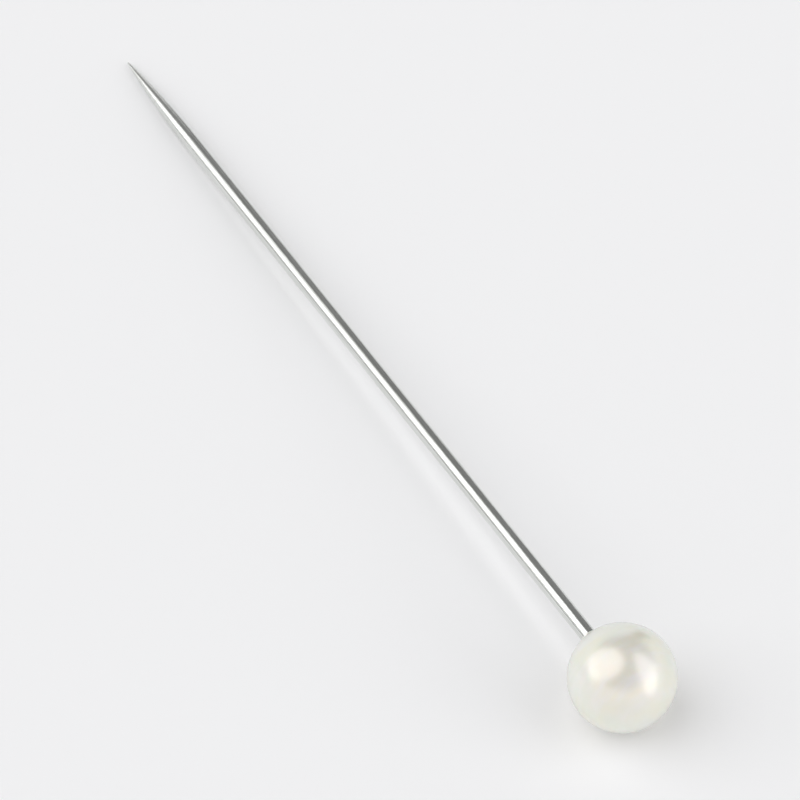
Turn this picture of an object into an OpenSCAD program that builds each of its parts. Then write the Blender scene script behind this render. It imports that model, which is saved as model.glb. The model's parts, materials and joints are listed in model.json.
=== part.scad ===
// A dressmaker's straight pin: a steel wire with a ground point, moulded into a round pearl head.
// It lies as it comes to rest on a flat surface: on its head and on its point.
// X runs along the pin towards the point, Z is up, and the origin is under its middle.

/* [Pin] */
// Overall length along the pin's axis, from the crown of the head to the tip
pin_length = 38; // [25:1:55]

/* [Wire] */
// Diameter of the drawn wire
wire_d = 0.6; // [0.4:0.05:1]
// Length of the ground point, from the end of the round wire to the tip
point_length = 5; // [3:0.5:8]
// Radius left at the tip by the last polish
tip_r = 0.04; // [0.02:0.01:0.08]
// Bevel on the sheared end that the head is moulded over
end_bevel = 0.08; // [0.04:0.01:0.12]
// Length of the nip in the wire, just inside the neck, that keeps the head from pulling off
nip_length = 1.2; // [0.8:0.1:1.4]
// Depth of the nip
nip_depth = 0.06; // [0.03:0.01:0.1]

/* [Head] */
// Diameter of the pearl
head_d = 4; // [2.5:0.1:6]
// Plastic between the wire's end and the crown
crown_wall = 0.9; // [0.5:0.1:1]
// Wall of the neck round the wire, at its mouth
neck_wall = 0.08; // [0.05:0.01:0.2]
// How far inside the neck's mouth the wire's nip starts
nip_cover = 0.05; // [0.03:0.01:0.15]
// Radius of the hollow curve that runs from the pearl into the neck
neck_curve_r = 0.3; // [0.1:0.05:0.6]

/* [Hidden] */

// Facets round a circle, and straight steps along the curve of the point and round the tip
$fn = 96;
point_steps = 10;
tip_steps = 4;

wire_r = wire_d / 2;
head_r = head_d / 2;

// Places along the axis, counted from the pearl's centre towards the tip
wire_start = crown_wall - head_r;
tip_end = pin_length - head_r;
shoulder = tip_end - point_length;
tip_centre = tip_end - tip_r;

// The point is one arc that leaves the wire without a corner and runs smoothly into the round tip.
// Its centre lies across the axis, and its radius follows from the two circles that it touches.
point_arc_r = (pow(point_length - tip_r, 2) / (wire_r - tip_r) + wire_r + tip_r) / 2;
point_arc_end = atan2(point_length - tip_r, point_arc_r - wire_r);

// Outlines of the ground end, as points of [radius, place along the axis]
point_outline = [
    for (i = [0 : point_steps])
        let (a = point_arc_end * i / point_steps)
        [wire_r - point_arc_r * (1 - cos(a)), shoulder + point_arc_r * sin(a)]
];
tip_outline = [
    for (i = [1 : tip_steps])
        let (a = point_arc_end + (90 - point_arc_end) * i / tip_steps)
        [tip_r * cos(a), tip_centre + tip_r * sin(a)]
];

// The hollow curve touches the pearl's circle and the neck's mouth, which gives its centre
mouth_r = wire_r + neck_wall;
neck_curve_x = mouth_r + neck_curve_r;
neck_end = sqrt(pow(head_r + neck_curve_r, 2) - pow(neck_curve_x, 2));

// The nip is a shallow V all round the wire, and the head fills it
nip_outline = [
    [wire_r, neck_end - nip_cover - nip_length],
    [wire_r - nip_depth, neck_end - nip_cover - nip_length / 2],
    [wire_r, neck_end - nip_cover],
];

// Laid on a flat surface, the pin tips forward about its head until the ground end touches.
// Each outline point has a tilt that would bring it down to the surface, and the least one is reached first.
function touching_tilt(p) = asin(head_r / norm(p)) - atan2(p[0], p[1]);
rest_tilt = min([for (p = point_outline) touching_tilt(p)]);

// The pearl's place, which puts the origin under the middle of the lying pin
head_x = (head_r - tip_r - tip_centre * cos(rest_tilt)) / 2;

// Lays down what is modelled upright with the pearl's centre at the origin and the tip up.
// Half a facet's turn about the pin's own axis brings a flat of the round head underneath, and not an edge.
module lying() {
    translate([head_x, 0, head_r])
        rotate([0, 90 + rest_tilt, 0])
            rotate([0, 0, 180 / $fn])
                children();
}

// The whole wire, from its bevelled end in the head to the tip
module wire_solid() {
    wire_end_outline = [
        [0, wire_start],
        [wire_r - end_bevel, wire_start],
        [wire_r, wire_start + end_bevel],
    ];
    rotate_extrude()
        polygon(concat(wire_end_outline, nip_outline, point_outline, tip_outline));
}

// Half section of the head: the pearl's circle, and the neck under the hollow curve
module head_outline() {
    intersection() {
        union() {
            circle(r = head_r);
            difference() {
                polygon([[0, 0], [neck_curve_x, neck_end], [0, neck_end]]);
                translate([neck_curve_x, neck_end])
                    circle(r = neck_curve_r);
            }
        }
        translate([0, -head_r])
            square([head_r, head_r + neck_end]);
    }
}

// Drawn steel wire with its ground point
module pin_shaft() {
    color([0.76, 0.77, 0.75])
        lying()
            wire_solid();
}

// Pearl-finished plastic head, moulded straight onto the wire, so the wire's own form is its bore
module pearl_head() {
    color([0.93, 0.92, 0.86])
        lying()
            difference() {
                rotate_extrude()
                    head_outline();
                wire_solid();
            }
}

pin_shaft();
pearl_head();
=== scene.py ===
"""A pearl-headed straight pin: its plated wire and its pearl head, on a pale floor in soft light."""

import json
import math

import bpy
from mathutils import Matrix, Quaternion, Vector


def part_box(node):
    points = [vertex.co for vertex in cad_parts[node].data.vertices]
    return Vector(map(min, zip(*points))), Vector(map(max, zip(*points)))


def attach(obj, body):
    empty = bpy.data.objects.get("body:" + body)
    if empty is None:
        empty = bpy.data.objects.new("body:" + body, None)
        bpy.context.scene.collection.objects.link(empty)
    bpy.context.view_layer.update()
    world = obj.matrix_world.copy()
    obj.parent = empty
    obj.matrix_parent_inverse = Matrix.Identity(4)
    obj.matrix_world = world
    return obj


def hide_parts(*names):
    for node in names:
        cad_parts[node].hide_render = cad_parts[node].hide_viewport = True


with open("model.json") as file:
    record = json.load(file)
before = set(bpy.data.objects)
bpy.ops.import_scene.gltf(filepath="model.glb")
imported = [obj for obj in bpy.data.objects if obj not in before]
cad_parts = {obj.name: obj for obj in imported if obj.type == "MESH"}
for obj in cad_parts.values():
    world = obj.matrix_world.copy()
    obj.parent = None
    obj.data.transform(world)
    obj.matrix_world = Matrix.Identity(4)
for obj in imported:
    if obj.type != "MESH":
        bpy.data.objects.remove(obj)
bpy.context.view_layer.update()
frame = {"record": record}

MM = 0.001

# Sizes that the frame doesn't give. Its box of the head is that of a faceted ball, a little too small.
HEAD_R = 2 * MM
POINT_LENGTH = 5 * MM
TIP_R = 0.04 * MM
CROWN_WALL = 0.9 * MM
END_BEVEL = 0.08 * MM
NIP_LENGTH = 1.2 * MM
NIP_DEPTH = 0.06 * MM
NIP_COVER = 0.05 * MM
NECK_WALL = 0.08 * MM
NECK_CURVE_R = 0.3 * MM

# The wire's mount gives its radius and its axis, which meets the pearl's centre at the pearl's own height
shaft_mount = frame["record"]["mounts"][0]
WIRE_R = shaft_mount["dims"]["r_mm"] * MM
AXIS = Vector(shaft_mount["axis"]).normalized()
TILT = math.atan2(-AXIS.z, AXIS.x)
mount_place = Vector(shaft_mount["pos_m"])
HEAD_CENTRE = mount_place + AXIS * (HEAD_R - mount_place.z) / AXIS.z

# Places along the axis, counted from the pearl's centre towards the tip
WIRE_START = CROWN_WALL - HEAD_R
TIP_CENTRE = (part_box("pin_shaft")[1].x - TIP_R - HEAD_CENTRE.x) / AXIS.x
TIP_END = TIP_CENTRE + TIP_R
SHOULDER = TIP_END - POINT_LENGTH

# The hollow curve touches the pearl's circle and the neck's mouth, which gives its centre
NECK_CURVE_X = WIRE_R + NECK_WALL + NECK_CURVE_R
NECK_END = math.sqrt((HEAD_R + NECK_CURVE_R) ** 2 - NECK_CURVE_X**2)

# Facets round each piece, and steps along its curves and its straight stretches
WIRE_FACETS = 64
HEAD_FACETS = 160
POINT_STEPS = 24
TIP_STEPS = 8
BALL_STEPS = 72
NECK_STEPS = 10
LONGEST_STEP = 0.25 * MM

# An outline point this close to the axis is a pole, and an edge that turns by more than this stays sharp
POLE_R = 0.0001 * MM
CREASE = math.radians(35)


# Outlines, as points of (radius, place along the axis)

def arc(centre, radius, start, end, steps):
    """Points of an arc from one angle to another, in degrees from the radius direction towards the tip."""
    across, along = centre
    turns = [math.radians(start + (end - start) * i / steps) for i in range(steps + 1)]
    return [(across + radius * math.cos(turn), along + radius * math.sin(turn)) for turn in turns]


def buried_end():
    """The wire's bevelled end and its nip, which the head is moulded over."""
    nip_end = NECK_END - NIP_COVER
    return [
        (0, WIRE_START),
        (WIRE_R - END_BEVEL, WIRE_START),
        (WIRE_R, WIRE_START + END_BEVEL),
        (WIRE_R, nip_end - NIP_LENGTH),
        (WIRE_R - NIP_DEPTH, nip_end - NIP_LENGTH / 2),
        (WIRE_R, nip_end),
    ]


def ground_point():
    """The point's long arc, which leaves the wire without a corner, and the round tip that it runs into."""
    rise = POINT_LENGTH - TIP_R
    radius = (rise**2 / (WIRE_R - TIP_R) + WIRE_R + TIP_R) / 2
    end = math.degrees(math.atan2(rise, radius - WIRE_R))
    side = arc((WIRE_R - radius, SHOULDER), radius, 0, end, POINT_STEPS)
    tip = arc((0, TIP_CENTRE), TIP_R, end, 90, TIP_STEPS)
    return side + tip[1:]


def ball_and_neck():
    """The pearl from its crown on, and the hollow curve that it runs into, up to the neck's mouth."""
    touch = math.degrees(math.atan2(NECK_END, NECK_CURVE_X))
    ball = arc((0, 0), HEAD_R, -90, touch, BALL_STEPS)
    hollow = arc((NECK_CURVE_X, NECK_END), NECK_CURVE_R, 180 + touch, 180, NECK_STEPS)
    return ball + hollow[1:]


# Meshes

def divided(outline, longest):
    """The same outline with its long straight stretches cut into even steps."""
    points = [outline[0]]
    for start, end in zip(outline, outline[1:]):
        steps = max(1, math.ceil(math.dist(start, end) / longest))
        points += [
            tuple(here + (there - here) * i / steps for here, there in zip(start, end))
            for i in range(1, steps + 1)
        ]
    return points


def new_object(name, data):
    """An object of this name, in the scene."""
    thing = bpy.data.objects.new(name, data)
    bpy.context.scene.collection.objects.link(thing)
    return thing


def revolved(name, outline, facets, material):
    """A closed piece turned about the pin's axis. An outline point on the axis becomes a pole."""
    across = Vector((0, 1, 0))
    upward = AXIS.cross(across)
    vertices = []
    rings = []
    for radius, place in outline:
        count = facets if radius > POLE_R else 1
        rings.append([len(vertices) + i for i in range(count)])
        for i in range(count):
            # Half a facet more, so that a flat is underneath, as it is in the solids
            turn = 2 * math.pi * (i + 0.5) / facets
            out = across * math.cos(turn) + upward * math.sin(turn)
            vertices.append(HEAD_CENTRE + AXIS * place + out * radius)
    faces = []
    for near, far in zip(rings, rings[1:]):
        for i in range(facets):
            after = (i + 1) % facets
            corners = [
                near[i % len(near)],
                near[after % len(near)],
                far[after % len(far)],
                far[i % len(far)],
            ]
            # At a pole two corners are one, and the face is a triangle
            faces.append(list(dict.fromkeys(corners)))
    mesh = bpy.data.meshes.new(name)
    mesh.from_pydata(vertices, [], faces)
    mesh.shade_smooth()
    mesh.set_sharp_from_angle(angle=CREASE)
    mesh.materials.append(material)
    return new_object(name, mesh)


# Nodes that the materials and the room are made of

def new_material(name):
    """A material with its tree and its Principled shader."""
    material = bpy.data.materials.new(name)
    material.use_nodes = True
    return material, material.node_tree, material.node_tree.nodes["Principled BSDF"]


def set_values(node, **values):
    """Sets sockets by name, with spaces written as underscores."""
    for name, value in values.items():
        node.inputs[name.replace("_", " ")].default_value = value


def on_the_pin(tree, along, across):
    """Coordinates that follow the pin's axis, where 1 is this far along it and this far across it."""
    place = tree.nodes.new("ShaderNodeTexCoord")
    mapping = tree.nodes.new("ShaderNodeMapping")
    mapping.vector_type = "TEXTURE"
    set_values(mapping, Location=HEAD_CENTRE, Rotation=(0, TILT, 0), Scale=(along, across, across))
    tree.links.new(place.outputs["Object"], mapping.inputs["Vector"])
    return mapping.outputs["Vector"]


def noise(tree, along, across, detail, roughness=0.5):
    """A noise from 0 to 1, whose patches are about this long along the pin and this wide across it."""
    node = tree.nodes.new("ShaderNodeTexNoise")
    set_values(node, Scale=1, Detail=detail, Roughness=roughness)
    tree.links.new(on_the_pin(tree, along, across), node.inputs["Vector"])
    return node.outputs["Fac"]


def remapped(tree, value, old, new=(0, 1)):
    """The value, with the old range stretched over the new one and held inside it."""
    node = tree.nodes.new("ShaderNodeMapRange")
    node.interpolation_type = "SMOOTHSTEP"
    set_values(node, From_Min=old[0], From_Max=old[1], To_Min=new[0], To_Max=new[1])
    tree.links.new(value, node.inputs["Value"])
    return node.outputs["Result"]


def mixed(tree, share, first, second, kind="Color"):
    """The first where share is 0 and the second where it is 1. Each is a socket or a plain value."""
    node = tree.nodes.new("ShaderNodeMix")
    node.data_type = {"Color": "RGBA", "Float": "FLOAT"}[kind]
    inputs = {socket.identifier: socket for socket in node.inputs}
    outputs = {socket.identifier: socket for socket in node.outputs}
    tree.links.new(share, inputs["Factor_Float"])
    for letter, value in (("A", first), ("B", second)):
        socket = inputs[f"{letter}_{kind}"]
        if isinstance(value, bpy.types.NodeSocket):
            tree.links.new(value, socket)
        else:
            socket.default_value = value
    return outputs[f"Result_{kind}"]


def multiplied(tree, *values):
    """The product of several values."""
    product = values[0]
    for value in values[1:]:
        node = tree.nodes.new("ShaderNodeMath")
        node.operation = "MULTIPLY"
        tree.links.new(product, node.inputs[0])
        tree.links.new(value, node.inputs[1])
        product = node.outputs["Value"]
    return product


def bumped(tree, height, depth, below=None):
    """The normal of a surface that rises and falls by this depth, over another bump where one is given."""
    node = tree.nodes.new("ShaderNodeBump")
    set_values(node, Strength=1, Distance=depth)
    tree.links.new(height, node.inputs["Height"])
    if below:
        tree.links.new(below, node.inputs["Normal"])
    return node.outputs["Normal"]


# The wire's fine lines, and the stretch of the axis over which die lines give way to grinding rings

DIE_LINES = {"along": 8 * MM, "across": 0.06 * MM, "detail": 4, "roughness": 0.7}
GRINDING_RINGS = {"along": 0.04 * MM, "across": 0.6 * MM, "detail": 3, "roughness": 0.6}
SOFTER_RINGS = (0.3, 0.7)
LINES_TO_RINGS = (SHOULDER - 0.2 * MM, SHOULDER + 0.4 * MM)
LINE_DEPTH = 0.005 * MM

# The plate's tones, and what the lines do to its tone and its roughness

PLATE_CLOUDS = {"along": 2.5 * MM, "across": 0.8 * MM, "detail": 3}
PLATE_CLOUD_EDGES = (0.35, 0.65)
DARKER_PLATE = (0.735, 0.745, 0.72, 1)
PALER_PLATE = (0.79, 0.8, 0.78, 1)
DEEP_LINES = (0.38, 0.52)
DEEP_LINE_SHARE = (0.6, 0)
DEEP_LINE_TONE = (0.55, 0.56, 0.53, 1)
DEEP_TO_HIGH_LINES = (0.36, 0.6)
DEEP_TO_HIGH_ROUGHNESS = (0.24, 0.13)


def plated_wire():
    """Nickel plate over drawn wire: lengthwise die lines, and fine rings where the point was ground."""
    material, tree, shader = new_material("plated_wire")
    link = tree.links.new
    place = tree.nodes.new("ShaderNodeSeparateXYZ")
    link(on_the_pin(tree, along=1, across=1), place.inputs["Vector"])
    ground = remapped(tree, place.outputs["X"], LINES_TO_RINGS)
    rings = remapped(tree, noise(tree, **GRINDING_RINGS), (0, 1), SOFTER_RINGS)
    lines = mixed(tree, ground, noise(tree, **DIE_LINES), rings, kind="Float")
    link(bumped(tree, lines, LINE_DEPTH), shader.inputs["Normal"])

    clouds = remapped(tree, noise(tree, **PLATE_CLOUDS), PLATE_CLOUD_EDGES)
    plate = mixed(tree, clouds, DARKER_PLATE, PALER_PLATE)
    deep = remapped(tree, lines, DEEP_LINES, DEEP_LINE_SHARE)
    link(mixed(tree, deep, plate, DEEP_LINE_TONE), shader.inputs["Base Color"])
    link(remapped(tree, lines, DEEP_TO_HIGH_LINES, DEEP_TO_HIGH_ROUGHNESS), shader.inputs["Roughness"])
    set_values(shader, Metallic=1)
    return material


# The pearl's clouds and swirls, in tint and roughness

PEARL_CLOUDS = {"along": 1.3 * MM, "across": 1.6 * MM, "detail": 2}
PEARL_CLOUD_EDGES = (0.35, 0.65)
WARM_TINT = (0.835, 0.812, 0.695, 1)
COOL_TINT = (0.8, 0.808, 0.735, 1)
PEARL_SWIRLS = {"along": 0.5 * MM, "across": 1.8 * MM, "detail": 4}
PEARL_SWIRL_EDGES = (0.4, 0.7)
SWIRL_TINT = (0.835, 0.825, 0.79, 1)
PEARL_ROUGHNESS = (0.3, 0.36)

# The waves of its lacquer, and the grain under it

LACQUER_WAVES = {"along": 0.6 * MM, "across": 0.6 * MM, "detail": 1}
WAVE_DEPTH = 0.006 * MM
PEARL_GRAIN = {"along": 0.06 * MM, "across": 0.06 * MM, "detail": 1}
GRAIN_DEPTH = 0.0003 * MM


def pearl_plastic():
    """Ivory plastic under pearl lacquer: a soft glow under a clear gloss, with faint clouds and swirls."""
    material, tree, shader = new_material("pearl_plastic")
    link = tree.links.new
    clouds = remapped(tree, noise(tree, **PEARL_CLOUDS), PEARL_CLOUD_EDGES)
    swirls = remapped(tree, noise(tree, **PEARL_SWIRLS), PEARL_SWIRL_EDGES)
    tint = mixed(tree, clouds, WARM_TINT, COOL_TINT)
    link(mixed(tree, swirls, tint, SWIRL_TINT), shader.inputs["Base Color"])
    link(remapped(tree, swirls, (0, 1), PEARL_ROUGHNESS), shader.inputs["Roughness"])

    waves = bumped(tree, noise(tree, **LACQUER_WAVES), WAVE_DEPTH)
    grain = bumped(tree, noise(tree, **PEARL_GRAIN), GRAIN_DEPTH, below=waves)
    link(grain, shader.inputs["Normal"])
    link(waves, shader.inputs["Coat Normal"])
    set_values(
        shader,
        Metallic=0.15,
        Specular_IOR_Level=1,
        Subsurface_Weight=0.15,
        Subsurface_Scale=0.4 * MM,
        Thin_Film_Thickness=400,
        Thin_Film_IOR=1.9,
        Coat_Weight=1,
        Coat_Roughness=0.24,
        Coat_IOR=1.7,
    )
    return material


# Floor, in metres: so wide that its far edge lies at the horizon

FLOOR_SIDE = 100
FLOOR_WHITE = (0.95, 0.95, 0.96, 1)


def pale_floor():
    """A plain white board."""
    material, _, shader = new_material("pale_floor")
    set_values(shader, Base_Color=FLOOR_WHITE, Roughness=0.8, Specular_IOR_Level=0.2)
    return material


def make_floor():
    """The board that the pin lies on."""
    half = FLOOR_SIDE / 2
    corners = [(-half, -half, 0), (half, -half, 0), (half, half, 0), (-half, half, 0)]
    mesh = bpy.data.meshes.new("floor")
    mesh.from_pydata(corners, [], [(0, 1, 2, 3)])
    mesh.materials.append(pale_floor())
    floor = new_object("floor", mesh)


# Camera and lamps, in metres and degrees

VIEW_AZIMUTH = 239.3
VIEW_ELEVATION = 51
VIEW_DISTANCE = 0.33
VIEW_WIDTH = 29.5 * MM
VIEW_TARGET = Vector((-1.2, -0.1, 1)) * MM
CLIP_START = 0.033
SOFTBOX_DISTANCE = 30


def outwards(azimuth, elevation):
    """The direction from the object to a camera or lamp. Azimuth 0 is at -Y, and 90 at +X, in degrees."""
    turn = math.radians(azimuth)
    rise = math.radians(elevation)
    return Vector((math.sin(turn) * math.cos(rise), -math.cos(turn) * math.cos(rise), math.sin(rise)))


def aimed(name, data, place, target):
    """An object at a place, turned so that it looks at the target."""
    thing = new_object(name, data)
    thing.location = place
    thing.rotation_mode = "QUATERNION"
    thing.rotation_quaternion = (target - place).to_track_quat("-Z", "Y")
    return thing


def make_camera():
    """The photograph's viewing angle, and its distance, so that the pin narrows away as it does there."""
    data = bpy.data.cameras.new("camera")
    data.lens = data.sensor_width * VIEW_DISTANCE / VIEW_WIDTH
    data.clip_start = CLIP_START
    place = VIEW_TARGET + outwards(VIEW_AZIMUTH, VIEW_ELEVATION) * VIEW_DISTANCE
    bpy.context.scene.camera = aimed("camera", data, place, VIEW_TARGET)


def add_softbox(name, turn, elevation, lean, wide, high, brightness):
    """An oval lamp, far enough away to light the floor evenly. It stands this far round from the camera
    and this high, leans over by this much, and looks this wide and high from the pin, all in degrees.
    At a brightness of 1 it looks as bright as plain white."""
    data = bpy.data.lights.new(name, "AREA")
    data.shape = "ELLIPSE"
    data.size = 2 * SOFTBOX_DISTANCE * math.tan(math.radians(wide) / 2)
    data.size_y = 2 * SOFTBOX_DISTANCE * math.tan(math.radians(high) / 2)
    area = data.size * data.size_y * math.pi / 4
    data.energy = brightness * area * math.pi
    place = outwards(VIEW_AZIMUTH + turn, elevation) * SOFTBOX_DISTANCE
    lamp = aimed(name, data, place, Vector((0, 0, 0)))
    lamp.rotation_quaternion @= Quaternion((0, 0, 1), math.radians(lean))


# Edges in the room, as parts of the direction looked in. Z is 0 at the horizon and 1 overhead.

FOOT_EDGE = (0.02, 0.2)
CEILING_EDGE = (0.35, 0.6)
GAP_X = (0.45, 0.71)
GAP_Y_EDGE = (-0.06, 0.04)
SLIT_X = (0.45, 0.66)
SLIT_Y = (0.4, 1)
SLIT_Z = (0, 0.38)
SOFT_EDGE = 0.04


def grey(level):
    """A grey colour of this level, where 1 is white."""
    return level, level, level, 1


def within(tree, value, span):
    """1 where the value lies in this span, and 0 outside, with soft edges."""
    low, high = span
    rising = remapped(tree, value, (low, low + SOFT_EDGE))
    falling = remapped(tree, value, (high - SOFT_EDGE, high), (1, 0))
    return multiplied(tree, rising, falling)


def make_room(foot, walls, ceiling, gap, slit):
    """A room in these greys. Its walls are as pale as the floor at their foot, and its ceiling is dimmer.
    A dark gap runs up the wall on one side of where the pin points, and a lower slit on the other. The
    wire mirrors them as its dark lines."""
    world = bpy.data.worlds.new("room")
    world.use_nodes = True
    bpy.context.scene.world = world
    tree = world.node_tree
    looked_in = tree.nodes.new("ShaderNodeTexCoord").outputs["Generated"]
    direction = tree.nodes.new("ShaderNodeSeparateXYZ")
    tree.links.new(looked_in, direction.inputs["Vector"])
    x, y, z = (direction.outputs[name] for name in "XYZ")
    wall = mixed(tree, remapped(tree, z, FOOT_EDGE), grey(foot), grey(walls))
    room = mixed(tree, remapped(tree, z, CEILING_EDGE), wall, grey(ceiling))
    in_gap = multiplied(tree, within(tree, x, GAP_X), remapped(tree, y, GAP_Y_EDGE, (1, 0)))
    room = mixed(tree, in_gap, room, grey(gap))
    in_slit = multiplied(tree, within(tree, x, SLIT_X), within(tree, y, SLIT_Y), within(tree, z, SLIT_Z))
    room = mixed(tree, in_slit, room, grey(slit))
    tree.links.new(room, tree.nodes["Background"].inputs["Color"])


# Stage

bpy.context.scene.view_settings.view_transform = "Standard"
make_floor()
make_camera()
add_softbox("left_box", turn=-88, elevation=54, lean=-8, wide=65, high=76, brightness=1.3)
add_softbox("right_box", turn=74, elevation=35, lean=-34, wide=41, high=84, brightness=1.2)
make_room(foot=0.88, walls=0.98, ceiling=0.26, gap=0.22, slit=0.36)

# Pieces

wire_outline = divided(buried_end() + ground_point(), LONGEST_STEP)
shaft = revolved("drawn_wire", wire_outline, WIRE_FACETS, plated_wire())
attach(shaft, "root")
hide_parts("pin_shaft")

bore_outline = buried_end()[::-1]
mouth = [(WIRE_R, NECK_END)]
head_outline = divided(ball_and_neck() + mouth + bore_outline, LONGEST_STEP)
head = revolved("pearl_ball", head_outline, HEAD_FACETS, pearl_plastic())
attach(head, "root")
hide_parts("pearl_head")
